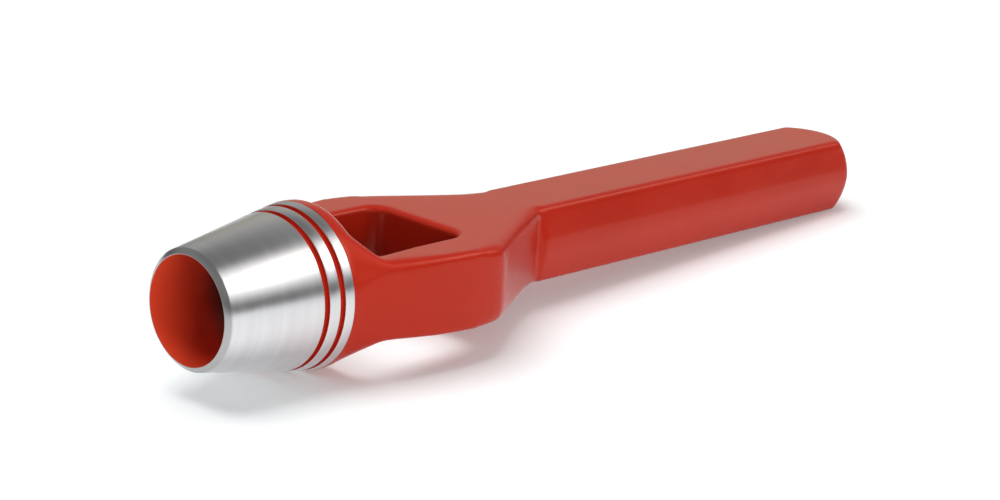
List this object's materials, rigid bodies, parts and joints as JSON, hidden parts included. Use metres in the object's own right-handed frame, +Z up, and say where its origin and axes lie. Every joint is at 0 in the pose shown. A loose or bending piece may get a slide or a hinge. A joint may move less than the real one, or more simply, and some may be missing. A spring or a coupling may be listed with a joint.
{
  "type": "handle hole punch",
  "caption": "Forged steel hollow punch with a ground conical cutting cup, a slug window through the flat block, and a straight shank to strike with a hammer.",
  "frame": {"origin": "floor level, at the middle of the bounding box in X and Y, with the tool lying at rest on its flat side", "axes": "+X along the tool towards the struck end, +Y to the left seen from the cutting edge towards the struck end, +Z up from the floor; the tool's own axis drops 3.06 degrees towards +X, because it lies on its round shoulder and on the lower edge of the struck end"},
  "size_m": [0.1252, 0.0304, 0.0217],
  "materials": {
    "punch": "satin red paint on the forged surfaces, bright turned and ground steel on the cutting cup"
  },
  "bodies": {
    "root": {"punch": "punch"}
  },
  "joints": []
}
